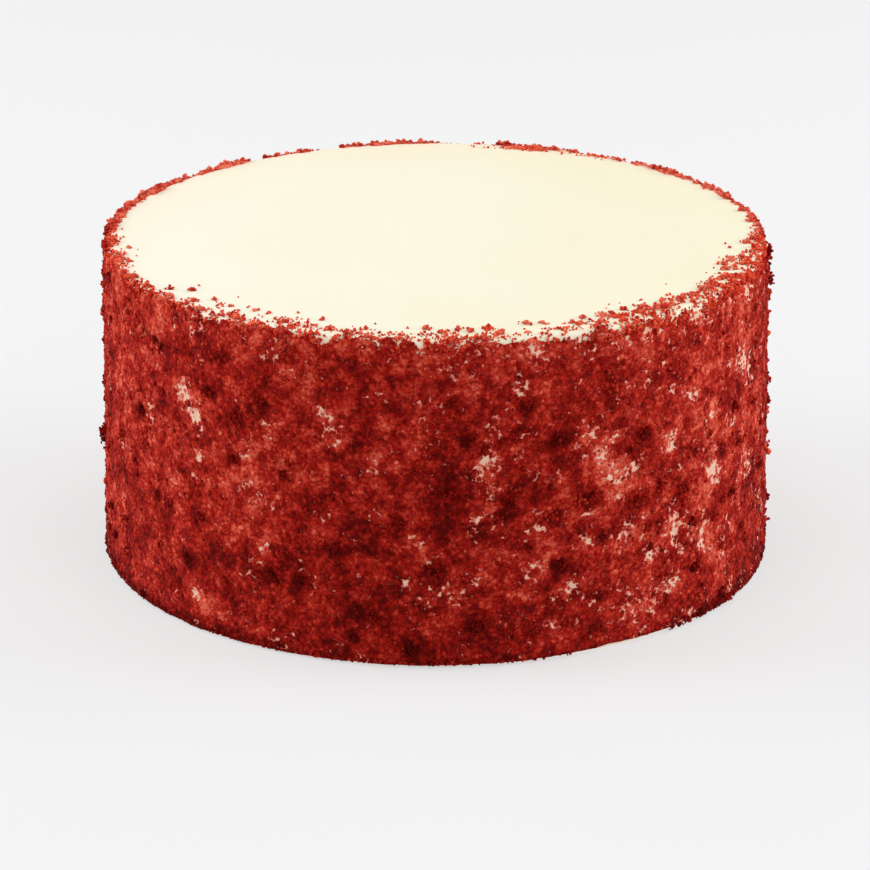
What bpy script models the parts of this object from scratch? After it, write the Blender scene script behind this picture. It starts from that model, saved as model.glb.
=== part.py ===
"""A red velvet cake: a round, uncut, iced cake with cake crumbs pressed all round its side.

Two solids make it. frosted_cake is the cake under its smooth icing, with the stray crumbs that
lie on the icing's top. crumb_coat is the layer of crumbs that wraps the side and laps over the
rim, with the larger crumbs that stand out of it.

Metres, +Z up. The origin is the centre of the base, and the cake's front faces -Y.
"""

import math
import random

import bmesh
import bpy
from mathutils import Vector, noise

# The iced cake. The foot is a little wider than the shoulder, where the rim's rounding begins.
FOOT_RADIUS = 0.0992
SHOULDER_RADIUS = 0.0976
CAKE_HEIGHT = 0.0964
RIM_ROUND = 0.0012
FOOT_ROUND = 0.0012
DOME_RISE = 0.0006

# A hand-iced cake is never quite round or level: (waves round the cake, share of the radius, phase).
OUT_OF_ROUND = ((2, 0.0024, 0.7), (3, 0.0018, 2.3), (5, 0.0010, 4.1))
LEVEL_SWING = 0.0004
LEVEL_PHASE = 1.2

# The crumb coat. Its lap over the rim thins out inwards, and is wide at the front and narrow behind.
COAT_GAP = 0.0003
COAT_THICKNESS = 0.0009
COAT_FOOT_THICKNESS = 0.0010
COAT_LAP_THICKNESS = 0.0004
COAT_RELIEF = 0.55
RELIEF_SIZE = 0.0075
LAP_FRONT = 0.0065
LAP_BACK = 0.0018
LAP_LEAST = 0.0008
LAP_SWING = 0.0020
LAP_RAGGEDNESS = 5.0
FOOT_LIFT = 0.0004
BARE_FOOT_LIFT = 0.0011
BARE_FOOT_ANGLE = math.radians(-56)
BARE_FOOT_WIDTH = math.radians(17)

# Crumbs that stand out: how many, and their radii from the smallest to the largest.
SIDE_CRUMBS = 104
SIDE_CRUMB_RADII = (0.0010, 0.0018)
RIM_CRUMBS = 44
RIM_CRUMB_RADII = (0.0008, 0.0014)
STRAY_CRUMBS = 36
STRAY_CRUMB_RADII = (0.0008, 0.0014)
STRAY_REACH = 0.011
CRUMB_ROUGHNESS = 0.24
# A crumb pressed into the coat is flatter than it is wide. A stray one sinks a little into the icing.
PRESSED_FLATNESS = 0.65
STRAY_LIFT = 0.25

# The mesh: steps round the cake and rows along each zone of its skin.
STEPS_ROUND = 96
SIDE_ROWS = 12
RIM_ROWS = 3
LAP_ROWS = 2
SEED = 20

# Where the zones of the skin end, as a row's number along it: side, then rim, then lap.
SIDE_END, RIM_END, LAP_END = 1.0, 2.0, 3.0
# Numbers that keep one noise pattern apart from another.
LAP_NOISE, RELIEF_NOISE = 3.7, 11.3
# The coat's section is turned flat first: its inner face at one radius, its outer at the other.
FLAT_INNER, FLAT_OUTER = 0.1, 0.2

GOLDEN_ANGLE = math.pi * (3 - math.sqrt(5))
MERGE_DISTANCE = 1e-6


def blend(low, high, share):
    """The value this share of the way from low to high."""
    return low + (high - low) * share


def out_of_round(angle):
    """How far the cake is from a true circle at this angle, as a factor of its radius."""
    return 1 + sum(size * math.cos(waves * angle + phase) for waves, size, phase in OUT_OF_ROUND)


def level(angle, radius):
    """How much higher than the mean the top lies there: it slopes slightly, and domes."""
    reach = radius / SHOULDER_RADIUS
    slope = LEVEL_SWING * reach * math.cos(angle + LEVEL_PHASE)
    return slope + DOME_RISE * (1 - reach**2)


def on_cake(angle, radius, height):
    """The point at these even sizes, moved to where the uneven cake has it."""
    raised = height + level(angle, radius) * height / CAKE_HEIGHT
    true_radius = radius * out_of_round(angle)
    return Vector((true_radius * math.cos(angle), true_radius * math.sin(angle), raised))


def ragged(angle, pattern, waves):
    """Smooth noise round the cake, from -1 to 1, that closes on itself."""
    return noise.noise(Vector((waves * math.cos(angle), waves * math.sin(angle), pattern)))


def lap_width(angle):
    """How far the coat reaches in over the icing's top."""
    even = blend(LAP_BACK, LAP_FRONT, (1 - math.sin(angle)) / 2)
    return max(LAP_LEAST, even + LAP_SWING * ragged(angle, LAP_NOISE, LAP_RAGGEDNESS))


def foot_height(angle):
    """Where the coat begins above the base: a sliver of icing shows below it on one side."""
    from_bare = math.remainder(angle - BARE_FOOT_ANGLE, 2 * math.pi) / BARE_FOOT_WIDTH
    return FOOT_LIFT + BARE_FOOT_LIFT * math.exp(-(from_bare**2))


def skin(angle, row):
    """The point and the outward direction on the icing, at a row along side, rim and lap."""
    rim_centre = SHOULDER_RADIUS - RIM_ROUND
    rim_base = CAKE_HEIGHT - RIM_ROUND
    if row <= SIDE_END:
        height = blend(foot_height(angle), rim_base, row)
        radius = blend(FOOT_RADIUS, SHOULDER_RADIUS, height / rim_base)
        turn = 0.0
    elif row <= RIM_END:
        turn = (row - SIDE_END) * math.pi / 2
        radius = rim_centre + RIM_ROUND * math.cos(turn)
        height = rim_base + RIM_ROUND * math.sin(turn)
    else:
        turn = math.pi / 2
        radius = rim_centre - lap_width(angle) * (row - RIM_END)
        height = CAKE_HEIGHT
    outward = Vector((math.cos(turn) * math.cos(angle), math.cos(turn) * math.sin(angle), math.sin(turn)))
    return on_cake(angle, radius, height), outward


def coat_thickness(angle, row):
    """The coat's thickness there: thinner at its foot and over the rim, with lumps all over."""
    if row < SIDE_END:
        even = blend(COAT_FOOT_THICKNESS, COAT_THICKNESS, min(1.0, row * SIDE_ROWS))
    else:
        inwards = (row - SIDE_END) / (LAP_END - SIDE_END)
        even = blend(COAT_THICKNESS, COAT_LAP_THICKNESS, math.sqrt(inwards))
    point, _ = skin(angle, row)
    lumps = noise.noise(point / RELIEF_SIZE + Vector((RELIEF_NOISE, 0, 0)))
    return even * (1 + COAT_RELIEF * lumps)


def coat_surface(angle, row):
    """The point and the outward direction on the coat's outer face."""
    point, outward = skin(angle, row)
    return point + outward * (COAT_GAP + coat_thickness(angle, row)), outward


def make_material(name, colour, roughness):
    """A Principled material that isn't metal."""
    material = bpy.data.materials.new(name)
    material.use_nodes = True
    shader = material.node_tree.nodes["Principled BSDF"]
    shader.inputs["Base Color"].default_value = (*colour, 1)
    shader.inputs["Roughness"].default_value = roughness
    shader.inputs["Metallic"].default_value = 0.0
    return material


def make_object(name, shape, material, collection=None):
    """Turns a bmesh into a named object that wears one material."""
    mesh = bpy.data.meshes.new(name)
    shape.to_mesh(mesh)
    shape.free()
    mesh.materials.append(material)
    mesh.shade_smooth()
    mesh.set_sharp_from_angle(angle=math.radians(40))
    made = bpy.data.objects.new(name, mesh)
    (collection or bpy.context.scene.collection).objects.link(made)
    return made


def spun(outline, closed):
    """A bmesh of an outline, (radius, height) points, turned once round the Z axis."""
    shape = bmesh.new()
    points = [shape.verts.new((radius, 0, height)) for radius, height in outline]
    pairs = list(zip(points, points[1:]))
    if closed:
        pairs.append((points[-1], points[0]))
    edges = [shape.edges.new(pair) for pair in pairs]
    bmesh.ops.spin(
        shape,
        geom=points + edges,
        cent=(0, 0, 0),
        axis=(0, 0, 1),
        angle=2 * math.pi,
        steps=STEPS_ROUND,
    )
    bmesh.ops.remove_doubles(shape, verts=shape.verts, dist=MERGE_DISTANCE)
    bmesh.ops.recalc_face_normals(shape, faces=shape.faces)
    return shape


def random_turn(rng):
    """A turn to any direction."""
    axis = Vector((rng.gauss(0, 1), rng.gauss(0, 1), rng.gauss(0, 1))).normalized()
    return axis.rotation_difference(Vector((0, 0, 1))).to_matrix()


def size_between(rng, radii):
    """A radius between the two, with more small ones than large ones."""
    return blend(radii[0], radii[1], rng.random() ** 2)


def place_crumb(rng, radius, centre, material, collection, pressed_along=None):
    """Makes one rough crumb at a point, flattened along a direction if it is pressed in."""
    shape = bmesh.new()
    bmesh.ops.create_icosphere(shape, subdivisions=1, radius=radius)
    bmesh.ops.rotate(shape, verts=shape.verts, matrix=random_turn(rng))
    for vertex in shape.verts:
        vertex.co *= 1 + rng.uniform(-CRUMB_ROUGHNESS, CRUMB_ROUGHNESS)
        if pressed_along:
            vertex.co -= pressed_along * vertex.co.dot(pressed_along) * (1 - PRESSED_FLATNESS)
    bmesh.ops.translate(shape, verts=shape.verts, vec=centre)
    make_object("crumb", shape, material, collection)


def press_crumb(rng, radius, angle, row, material, collection):
    """Presses one crumb into the coat, no deeper than the coat is thick."""
    point, outward = coat_surface(angle, row)
    half_thickness = radius * PRESSED_FLATNESS * (1 + CRUMB_ROUGHNESS)
    depth = coat_thickness(angle, row) - COAT_GAP
    centre = point + outward * max(0.0, half_thickness - depth)
    centre.z = max(centre.z, FOOT_LIFT + radius * (1 + CRUMB_ROUGHNESS))
    place_crumb(rng, radius, centre, material, collection, outward)


def fuse(base, crumbs):
    """Joins every crumb of the collection to the base as one solid, and removes them."""
    union = base.modifiers.new("fuse_crumbs", "BOOLEAN")
    union.operation = "UNION"
    union.operand_type = "COLLECTION"
    union.collection = crumbs
    union.solver = "MANIFOLD"
    with bpy.context.temp_override(object=base, active_object=base, selected_objects=[base]):
        bpy.ops.object.modifier_apply(modifier=union.name)
    for loose in list(crumbs.objects):
        bpy.data.objects.remove(loose)
    bpy.data.collections.remove(crumbs)
    keep_outer_shell(base)


def keep_outer_shell(fused):
    """Keeps the largest connected surface, which fills sealed hollows and drops loose scraps."""
    shape = bmesh.new()
    shape.from_mesh(fused.data)
    shells = []
    unseen = set(shape.verts)
    while unseen:
        shell = []
        edge_of_search = [unseen.pop()]
        while edge_of_search:
            vertex = edge_of_search.pop()
            shell.append(vertex)
            met = {edge.other_vert(vertex) for edge in vertex.link_edges} & unseen
            unseen -= met
            edge_of_search.extend(met)
        shells.append(shell)
    shells.sort(key=len)
    scraps = [vertex for shell in shells[:-1] for vertex in shell]
    bmesh.ops.delete(shape, geom=scraps, context="VERTS")
    shape.to_mesh(fused.data)
    shape.free()


def side_crumbs(rng, material, collection):
    """Crumbs spread evenly over the side, which stand out of the coat."""
    for number in range(SIDE_CRUMBS):
        angle = number * GOLDEN_ANGLE + rng.uniform(-0.05, 0.05)
        row = SIDE_END * (number + rng.uniform(0.1, 0.9)) / SIDE_CRUMBS
        press_crumb(rng, size_between(rng, SIDE_CRUMB_RADII), angle, row, material, collection)


def rim_crumbs(rng, material, collection):
    """Crumbs along the rim and the lap."""
    for number in range(RIM_CRUMBS):
        angle = 2 * math.pi * (number + rng.random()) / RIM_CRUMBS
        row = rng.uniform(SIDE_END, LAP_END - 0.5)
        press_crumb(rng, size_between(rng, RIM_CRUMB_RADII), angle, row, material, collection)


def stray_crumbs(rng, material, collection):
    """Crumbs that lie on the icing, further in than the coat and clear of it."""
    for number in range(STRAY_CRUMBS):
        angle = 2 * math.pi * (number + rng.random()) / STRAY_CRUMBS
        radius = size_between(rng, STRAY_CRUMB_RADII)
        spread = (radius + COAT_GAP) / SHOULDER_RADIUS * 2
        widest_lap = max(lap_width(angle + turn) for turn in (-spread, 0, spread))
        coat_edge = SHOULDER_RADIUS - RIM_ROUND - widest_lap
        clear_of_coat = coat_edge - radius * (1 + CRUMB_ROUGHNESS) - 2 * COAT_GAP
        front_share = (1 - math.sin(angle)) / 2
        inward = STRAY_REACH * front_share * rng.random() ** 2
        point = on_cake(angle, clear_of_coat - inward, CAKE_HEIGHT)
        place_crumb(rng, radius, point + Vector((0, 0, radius * STRAY_LIFT)), material, collection)


def make_frosted_cake(rng, icing, sponge):
    """The iced cake: a turned solid with a rounded rim, and stray crumbs on its top."""
    rim = [
        (
            SHOULDER_RADIUS - RIM_ROUND + RIM_ROUND * math.cos(step * math.pi / 2 / RIM_ROWS),
            CAKE_HEIGHT - RIM_ROUND + RIM_ROUND * math.sin(step * math.pi / 2 / RIM_ROWS),
        )
        for step in range(RIM_ROWS + 1)
    ]
    foot = [(0, 0), (FOOT_RADIUS - FOOT_ROUND, 0), (FOOT_RADIUS, FOOT_ROUND)]
    top = [(SHOULDER_RADIUS * share, CAKE_HEIGHT) for share in (0.85, 0.5, 0)]
    shape = spun(foot + rim + top, closed=False)
    for vertex in shape.verts:
        angle = math.atan2(vertex.co.y, vertex.co.x)
        vertex.co = on_cake(angle, vertex.co.xy.length, vertex.co.z)
    cake = make_object("frosted_cake", shape, icing)
    strays = bpy.data.collections.new("stray_crumbs")
    stray_crumbs(rng, sponge, strays)
    fuse(cake, strays)


def coat_outline():
    """The coat's section laid out flat, (radius, row): up the icing, then back down outside."""
    side = [SIDE_END * step / SIDE_ROWS for step in range(SIDE_ROWS)]
    rim = [SIDE_END + step / RIM_ROWS for step in range(RIM_ROWS)]
    lap = [RIM_END + step / LAP_ROWS for step in range(LAP_ROWS + 1)]
    inner = [(FLAT_INNER, row) for row in [0.0, *rim, *lap]]
    outer = [(FLAT_OUTER, row) for row in side + rim + lap]
    return inner + outer[::-1]


def make_crumb_coat(rng, sponge):
    """The coat: a ring that is spun flat, wrapped onto the icing, and given its crumbs."""
    shape = spun(coat_outline(), closed=True)
    for vertex in shape.verts:
        angle = math.atan2(vertex.co.y, vertex.co.x)
        outside = vertex.co.xy.length > (FLAT_INNER + FLAT_OUTER) / 2
        point, outward = skin(angle, vertex.co.z)
        vertex.co = coat_surface(angle, vertex.co.z)[0] if outside else point + outward * COAT_GAP
    bmesh.ops.recalc_face_normals(shape, faces=shape.faces)
    coat = make_object("crumb_coat", shape, sponge)
    proud = bpy.data.collections.new("proud_crumbs")
    side_crumbs(rng, sponge, proud)
    rim_crumbs(rng, sponge, proud)
    fuse(coat, proud)


def main():
    """Clears the scene and builds the cake."""
    for leftover in list(bpy.data.objects):
        bpy.data.objects.remove(leftover)
    rng = random.Random(SEED)
    icing = make_material("cream_cheese_icing", (0.93, 0.86, 0.68), 0.45)
    sponge = make_material("red_velvet_crumb", (0.36, 0.012, 0.006), 0.85)
    make_frosted_cake(rng, icing, sponge)
    make_crumb_coat(rng, sponge)


main()
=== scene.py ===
"""The looks of a round red velvet cake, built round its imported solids.

The icing is one smooth piece. The crumb coat is a lumpy shell that the cream shows through in
flecks, and thousands of separate crumbs, joined by kind, stick to it, to the rim and to the top.
"""

import logging
import math
from collections.abc import Callable
from dataclasses import dataclass, field, replace
from enum import Enum

import bpy
import numpy as np
from bpy.types import Material, Mesh, NodeSocket
from bpy.types import Object as Piece
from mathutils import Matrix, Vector, noise


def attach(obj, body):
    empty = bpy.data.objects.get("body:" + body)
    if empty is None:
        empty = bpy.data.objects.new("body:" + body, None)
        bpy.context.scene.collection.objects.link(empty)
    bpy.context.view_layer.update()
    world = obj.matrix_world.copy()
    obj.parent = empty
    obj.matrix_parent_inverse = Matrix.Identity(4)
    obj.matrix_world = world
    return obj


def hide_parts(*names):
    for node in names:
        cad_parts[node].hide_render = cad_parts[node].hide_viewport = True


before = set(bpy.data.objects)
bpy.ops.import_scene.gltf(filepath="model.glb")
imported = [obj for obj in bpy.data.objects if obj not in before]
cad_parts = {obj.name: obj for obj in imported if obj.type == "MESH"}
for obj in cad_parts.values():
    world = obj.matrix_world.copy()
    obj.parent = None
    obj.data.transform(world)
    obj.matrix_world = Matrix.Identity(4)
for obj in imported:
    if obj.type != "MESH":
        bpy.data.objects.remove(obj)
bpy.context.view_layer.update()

LOG = logging.getLogger("cake")
BAKE_MAP = "OFBake"
IMAGE_SIDE = 870
SENSOR = 36.0
MM = 0.001
TINT, THIN = "tint", "thin"
CRISP_HEIGHT, CRISP_SLOPE = 0.42, 3.2

Array = np.ndarray
Pair = tuple[float, float]
Triple = tuple[float, float, float]


class Slot(Enum):
    """The material slots."""

    FROSTING = "frosting"
    CRUMB = "crumb"


# Small helpers


def smooth(value: Array, low: float, high: float) -> Array:
    """A smooth step, from 0 where value is at low to 1 where it is at high."""
    share = np.clip((value - low) / (high - low), 0.0, 1.0)
    return share * share * (3.0 - 2.0 * share)


def noise_at(points: Array, size: float, shift: float = 0.0) -> Array:
    """Smooth noise at points in space.

    Args:
        points: (N, 3) points, in metres.
        size: the size of the noise's lumps, in metres.
        shift: moves the pattern along X, in lumps, so that two patterns differ.

    Returns:
        N numbers, from about -1 to 1.
    """
    scaled = points / size
    scaled[:, 0] += shift
    return np.array([noise.noise(place) for place in scaled.tolist()])


@dataclass(frozen=True)
class Layer:
    """A layer of noise: its strength, its lumps' size, its shift, and whether they have sharp borders."""

    strength: float
    size: float
    shift: float
    crisp: bool = False

    def at(self, points: Array) -> Array:
        """The layer's values at points."""
        values = noise_at(points, self.size, self.shift)
        return self.strength * (CRISP_HEIGHT * np.tanh(CRISP_SLOPE * values) if self.crisp else values)


def layered(points: Array, layers: tuple[Layer, ...], start: float = 0.0) -> Array:
    """Layers of noise at points in space.

    Args:
        points: (N, 3) points.
        layers: the layers.
        start: what they are added to.

    Returns:
        N sums.
    """
    for layer in layers:
        start = start + layer.at(points)
    return start


def only(obj: Piece) -> None:
    """Makes obj the one selected and active object."""
    bpy.ops.object.select_all(action="DESELECT")
    obj.select_set(True)
    bpy.context.view_layer.objects.active = obj


def start_from(primitive: Callable[..., set[str]], **sizes: object) -> Piece:
    """Adds a primitive as the one selected object, with its place in its mesh.

    Args:
        primitive: the operator that adds it.
        sizes: the operator's own values.

    Returns:
        The new object.
    """
    bpy.ops.object.select_all(action="DESELECT")
    primitive(**sizes)
    only(bpy.context.object)
    bpy.ops.object.transform_apply(location=True, rotation=True, scale=True)
    return bpy.context.object


def coordinates(mesh: Mesh) -> Array:
    """The mesh's points as an (N, 3) array."""
    flat = np.empty(len(mesh.vertices) * 3, np.float32)
    mesh.vertices.foreach_get("co", flat)
    return flat.reshape(-1, 3).astype(float)


def corners(mesh: Mesh, each: int) -> Array:
    """The corners of each face.

    Args:
        mesh: a mesh whose faces have the same number of corners.
        each: that number.

    Returns:
        The numbers of each face's points, (faces, each).
    """
    found = np.empty(len(mesh.loops), np.int32)
    mesh.loops.foreach_get("vertex_index", found)
    return found.reshape(-1, each)


def move_points(mesh: Mesh, points: Array) -> None:
    """Puts the mesh's points at these places."""
    mesh.vertices.foreach_set("co", points.astype(np.float32).ravel())
    mesh.update()


def add_attribute(mesh: Mesh, name: str, values: Array) -> None:
    """Stores one number per point under this name."""
    mesh.attributes.new(name, "FLOAT", "POINT").data.foreach_set("value", values.astype(np.float32))


def map_faces(mesh: Mesh, places: Array) -> None:
    """Gives the mesh a map of its own.

    Args:
        mesh: the mesh.
        places: the place of every face's corners, in turn.
    """
    layer = mesh.uv_layers[0] if mesh.uv_layers else mesh.uv_layers.new(name=BAKE_MAP)
    layer.name = BAKE_MAP
    layer.data.foreach_set("uv", places.astype(np.float32).ravel())


def finish_piece(
    obj: Piece, name: str, material: Material, node: str = ""
) -> None:
    """Names and dresses a finished piece, and ties it to the cake.

    Args:
        obj: the piece, in place.
        name: its name.
        material: what it wears.
        node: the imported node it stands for, if any.
    """
    obj.name = name
    obj.data.name = name
    obj.data.materials.clear()
    obj.data.materials.append(material)
    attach(obj, "root")
    if node:
        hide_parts(node)
    LOG.info("%s: %d points, %d faces", name, len(obj.data.vertices), len(obj.data.polygons))


# The cake's form


@dataclass(frozen=True)
class Spot:
    """A place on the cake's skin: degrees from the front towards +X, and millimetres up the skin.

    The skin turns inwards at the rim, so a height above the rim's is on the top.
    """

    degrees: float
    height: float
    radius: float


@dataclass(frozen=True)
class RimPart:
    """How the rim is crumbed in one direction: sizes in millimetres, and shares of the icing covered.

    The pressed layer ends at edge, up the skin from the rim's base. From there the loose crumbs thin
    out inwards over reach, and a ridge of them may lie further in. The lip is what the coat is
    thicker by at the rim.
    """

    degrees: float
    edge: float
    cover: float
    reach: float
    ridge: float = 4.0
    ridge_cover: float = 0.0
    lip: float = 0.0


def azimuth(angle: Array) -> Array:
    """Degrees from the front towards +X, from -180 to 180, of angles about the axis from +X."""
    return (np.degrees(angle) + 90 + 180) % 360 - 180


def azimuth_of(points: Array) -> Array:
    """The same for points."""
    return azimuth(np.arctan2(points[:, 1], points[:, 0]))


@dataclass(frozen=True)
class CakeForm:
    """The cake's sizes in metres, the same as its solids have, and where its skin lies.

    A row runs up the skin: 0 to 1 on the side, 1 to 2 round the rim, 2 to 3 in over the top.
    """

    foot_radius: float = 0.0992
    shoulder_radius: float = 0.0976
    height: float = 0.0964
    rim_round: float = 0.0012
    foot_round: float = 0.0012
    dome_rise: float = 0.0006
    out_of_round: tuple[Triple, ...] = ((2, 0.0024, 0.7), (3, 0.0018, 2.3), (5, 0.0010, 4.1))
    level_swing: float = 0.0004
    level_phase: float = 1.2
    lap_front: float = 0.0065
    lap_back: float = 0.0018
    lap_least: float = 0.0008
    lap_swing: float = 0.0020
    lap_raggedness: float = 5.0
    lap_noise: float = 3.7
    foot_lift: float = 0.0004
    bare_foot_lift: float = 0.0011
    bare_foot_angle: float = math.radians(-56)
    bare_foot_width: float = math.radians(17)

    @property
    def rim_centre(self) -> float:
        """The radius at which the rim's rounding is centred."""
        return self.shoulder_radius - self.rim_round

    @property
    def rim_base(self) -> float:
        """The height at which the rim's rounding begins."""
        return self.height - self.rim_round

    @property
    def rim_arc(self) -> float:
        """How long the rim's rounding is, along the skin."""
        return self.rim_round * math.pi / 2

    def place(self, angle: Array, radius: Array, height: Array) -> Array:
        """Points at even sizes, moved to where the uneven cake has them.

        Args:
            angle: radians about the cake's axis, from +X.
            radius: distance from the axis on an even cake.
            height: height on an even cake.

        Returns:
            (N, 3) points.
        """
        reach = radius / self.shoulder_radius
        level = self.level_swing * reach * np.cos(angle + self.level_phase)
        level = level + self.dome_rise * (1 - reach**2)
        factor = 1 + sum(size * np.cos(waves * angle + phase) for waves, size, phase in self.out_of_round)
        out = radius * factor
        raised = height + level * height / self.height
        return np.stack([out * np.cos(angle), out * np.sin(angle), raised], axis=-1)

    def front_share(self, angle: Array) -> Array:
        """1 at the front, 0 at the back."""
        return (1 - np.sin(angle)) / 2

    def lap_width(self, angle: Array) -> Array:
        """How far the coat reaches in over the icing's top.

        Args:
            angle: radians about the cake's axis.

        Returns:
            N widths in metres.
        """
        share = self.front_share(angle)
        even = self.lap_back + (self.lap_front - self.lap_back) * share
        ring = np.stack([np.cos(angle), np.sin(angle), np.full_like(angle, self.lap_noise)], axis=-1)
        ring[:, :2] *= self.lap_raggedness
        return np.maximum(self.lap_least, even + self.lap_swing * noise_at(ring, 1.0))

    def foot_height(self, angle: Array) -> Array:
        """Where the coat begins above the base."""
        turn = (angle - self.bare_foot_angle + math.pi) % (2 * math.pi) - math.pi
        return self.foot_lift + self.bare_foot_lift * np.exp(-((turn / self.bare_foot_width) ** 2))

    def along(self, angle: Array, row: Array) -> Array:
        """Metres up the skin from where the rim's rounding begins, below 0 on the side."""
        over = self.rim_arc * np.clip(row - 1, 0, 1) + self.lap_width(angle) * np.clip(row - 2, 0, 1)
        return np.where(row < 1, (row - 1) * self.rim_base, over)

    def skin(self, angle: Array, along: Array) -> tuple[Array, Array]:
        """The icing's skin.

        Args:
            angle: radians about the cake's axis.
            along: how far up the skin from the rim's base the points are, in metres.

        Returns:
            The points and the outward directions, both (N, 3).
        """
        foot = self.foot_height(angle)
        side_height = foot + (self.rim_base - foot) * np.clip(1 + along / self.rim_base, 0, 1)
        drawn_in = self.shoulder_radius - self.foot_radius
        side_radius = self.foot_radius + drawn_in * side_height / self.rim_base
        turn = np.clip(along / self.rim_arc, 0, 1) * math.pi / 2
        top_radius = self.rim_centre + self.rim_round * np.cos(turn) - np.maximum(along - self.rim_arc, 0)
        radius = np.where(along <= 0, side_radius, top_radius)
        height = np.where(along <= 0, side_height, self.rim_base + self.rim_round * np.sin(turn))
        level = np.cos(turn)
        outward = np.stack([level * np.cos(angle), level * np.sin(angle), np.sin(turn)], axis=-1)
        return self.place(angle, radius, height), outward


@dataclass(frozen=True)
class Mottling:
    """Where the coat is thin, darker or brighter: spots placed one by one, and noise. Part of the dark is
    painted shade and part of the bright is painted light.
    """

    form: CakeForm
    bare_spots: tuple[Spot, ...]
    clumps: tuple[Spot, ...]
    dark_and_painted_shade_areas: tuple[Spot, ...]
    bright_and_painted_light_areas: tuple[Spot, ...]
    warp: float = 0.0020
    warp_size: float = 0.0031
    holes: tuple[Layer, ...] = (Layer(1.0, 0.0095, 91.0), Layer(0.6, 0.0040, 95.0))
    usual_thinness: float = 0.14
    hole_thinness: float = 0.26
    halo_thinness: float = 0.13
    core_thinness: float = 0.22
    right_thinness: float = 0.11
    clump_thickness: float = 0.28
    usual_tint: float = 0.41
    tones: tuple[Layer, ...] = (
        Layer(0.11, 0.021, 17.0),
        Layer(0.16, 0.0105, 31.0),
        Layer(0.30, 0.0057, 37.0, crisp=True),
        Layer(0.27, 0.0031, 53.0, crisp=True),
    )
    clump_tone: float = 0.20
    halo_tone: float = 0.10
    area_tone: float = 0.13
    foot_shade: float = 0.0029

    def near(
        self, points: Array, spots: tuple[Spot, ...], reach: float, full: float = 1.0, start: float = 0.0
    ) -> Array:
        """How far inside the nearest spot each point is.

        Args:
            points: (N, 3) points on the side.
            spots: the spots.
            reach: how many radii out a spot's depth falls from 1 to 0.
            full: the depth that counts as inside.
            start: the depth that still counts as outside.

        Returns:
            N shares: 0 outside, 1 inside.
        """
        shoulder = self.form.shoulder_radius
        across = np.radians(azimuth_of(points)) * shoulder
        across = across + self.warp * noise_at(points, self.warp_size, 5.0)
        up = points[:, 2] + self.warp * noise_at(points, self.warp_size, 45.0)
        round_cake = 2 * math.pi * shoulder
        best = np.zeros(len(points))
        for spot in spots:
            aside = across - math.radians(spot.degrees) * shoulder
            aside = (aside + round_cake / 2) % round_cake - round_cake / 2
            away = np.hypot(aside, up - spot.height * MM) / (spot.radius * MM)
            best = np.maximum(best, 1 - away / reach)
        return smooth(best, start, full)

    def thinness(self, points: Array) -> Array:
        """How thinly crumbs cover the cream.

        Args:
            points: (N, 3) points on the coat.

        Returns:
            N numbers from 0 to 1. Over about 0.6 the cream is bare.
        """
        core = self.near(points, self.bare_spots, 1.9, 0.8)
        halo = self.near(points, self.bare_spots, 4.5, 0.8)
        clumped = self.near(points, self.clumps, 1.6, 0.5)
        right = smooth(azimuth_of(points), -20, 50)
        rim = smooth(points[:, 2], self.form.height - 0.011, self.form.height - 0.001)
        thin = self.usual_thinness + self.hole_thinness * smooth(layered(points, self.holes), -0.1, 0.75)
        thin = thin + self.halo_thinness * halo + self.core_thinness * core + self.right_thinness * right
        return np.clip(thin + (0.08 + 0.10 * right) * rim - self.clump_thickness * clumped, 0, 1)

    def tint(self, points: Array) -> Array:
        """How bright the crumbs are, painted shade and painted light included.

        Args:
            points: (N, 3) points on the coat.

        Returns:
            N numbers, from 0 for the darkest to 1 for the brightest.
        """
        height, aside = points[:, 2], np.abs(azimuth_of(points))
        value = layered(points, self.tones, self.usual_tint)
        # Darker round the clumps: partly darker crumb, partly painted shade in the crevices between them.
        value = value - self.clump_tone * self.near(points, self.clumps, 1.9, 0.7, 0.05)
        value = value + self.halo_tone * self.near(points, self.bare_spots, 3.6, 0.8)
        # Broad placed areas, darker and brighter: partly the crumb's own tone, partly painted shade and
        # painted light.
        value = value - self.area_tone * self.near(points, self.dark_and_painted_shade_areas, 2.0)
        value = value + self.area_tone * self.near(points, self.bright_and_painted_light_areas, 2.0)
        # Painted shade along the foot, where the cake meets the floor, deeper towards the left and right.
        shade = (0.25 + 0.40 * smooth(aside, 20, 45)) * np.exp(-((height / self.foot_shade) ** 1.5))
        # Painted light: crumbs near the top of the side are brighter where they face up to the light, more
        # so at the back.
        at_back = smooth(aside, 80, 110)
        value = value - shade + (0.12 + 0.24 * at_back) * smooth(height, 0.088 + 0.005 * at_back, 0.097)
        return np.clip(value, 0.0, 1.0)


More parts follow.
